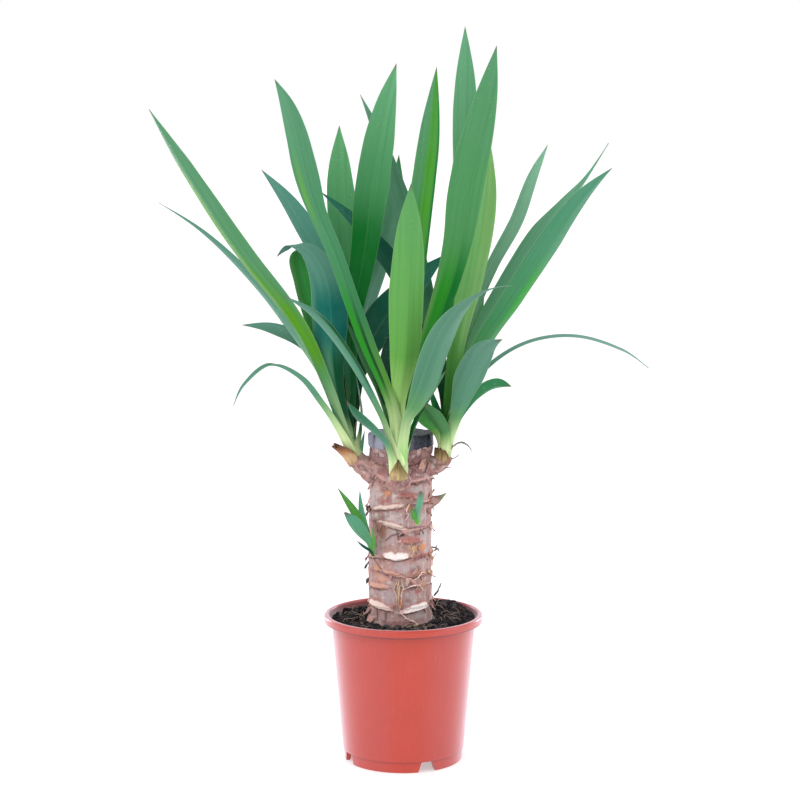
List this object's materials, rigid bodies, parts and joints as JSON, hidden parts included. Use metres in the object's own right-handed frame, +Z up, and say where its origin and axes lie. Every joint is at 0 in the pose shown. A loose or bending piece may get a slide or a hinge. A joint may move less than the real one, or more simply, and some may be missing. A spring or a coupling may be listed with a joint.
{
  "type": "potted yucca",
  "caption": "House plant: a stout ringed cane topped with heads of sword-shaped leaves, planted in soil in a tapered round plastic pot.",
  "frame": {"origin": "the middle of the pot's foot, on the surface it stands on", "axes": "+Z up along the pot's axis; -Y towards the front, which is the side the picture shows; +X to the right of the front"},
  "size_m": [0.438, 0.224, 0.645],
  "materials": {
    "pot": "satin",
    "soil": "matte",
    "bark": "matte",
    "wax": "satin",
    "leaf": "satin",
    "young_leaf": "satin",
    "dry_scale": "matte"
  },
  "bodies": {
    "root": {"pot": "pot", "soil": "soil", "cane": "bark", "wax_cap": "wax", "head_left": "leaf", "head_front": "leaf", "head_right": "leaf", "shoot_left": "young_leaf", "shoot_right": "young_leaf", "dry_scale_left": "dry_scale", "dry_scale_front": "dry_scale", "dry_scale_right": "dry_scale"}
  },
  "joints": []
}
